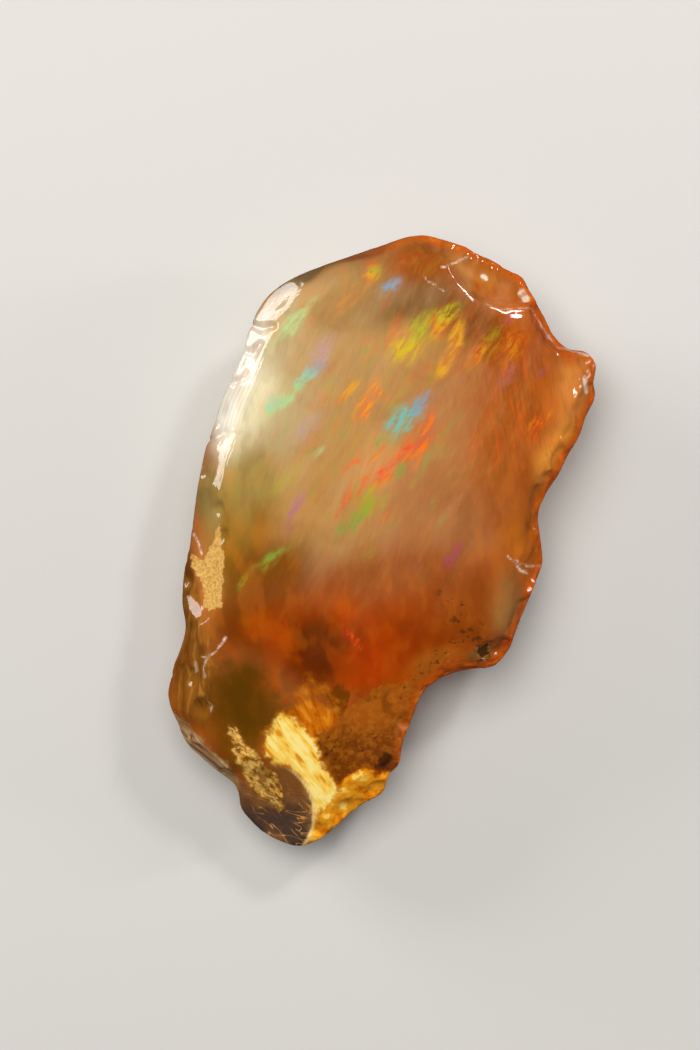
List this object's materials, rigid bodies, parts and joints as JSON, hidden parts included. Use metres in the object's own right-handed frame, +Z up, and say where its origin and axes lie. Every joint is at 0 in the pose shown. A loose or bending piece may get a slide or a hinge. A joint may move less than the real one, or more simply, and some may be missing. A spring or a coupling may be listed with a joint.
{
  "type": "rough opal",
  "caption": "Rough piece of translucent orange precious opal with a domed glassy face, shell-shaped breaks along its rim and a flat break on its back.",
  "frame": {"origin": "on the flat break of the back that the stone rests on, under the middle of its bounding box", "axes": "+Z up, square to the resting face; +Y along the stone, from the thin clear tip to the splintered tip; +X across it, towards the lobe on the right"},
  "size_m": [0.0466, 0.0666, 0.0144],
  "materials": {
    "opal": "glassy, translucent, with a frosted break at the lower right and a sandy patch of matrix on the left edge"
  },
  "bodies": {
    "root": {"opal": "opal"}
  },
  "joints": []
}
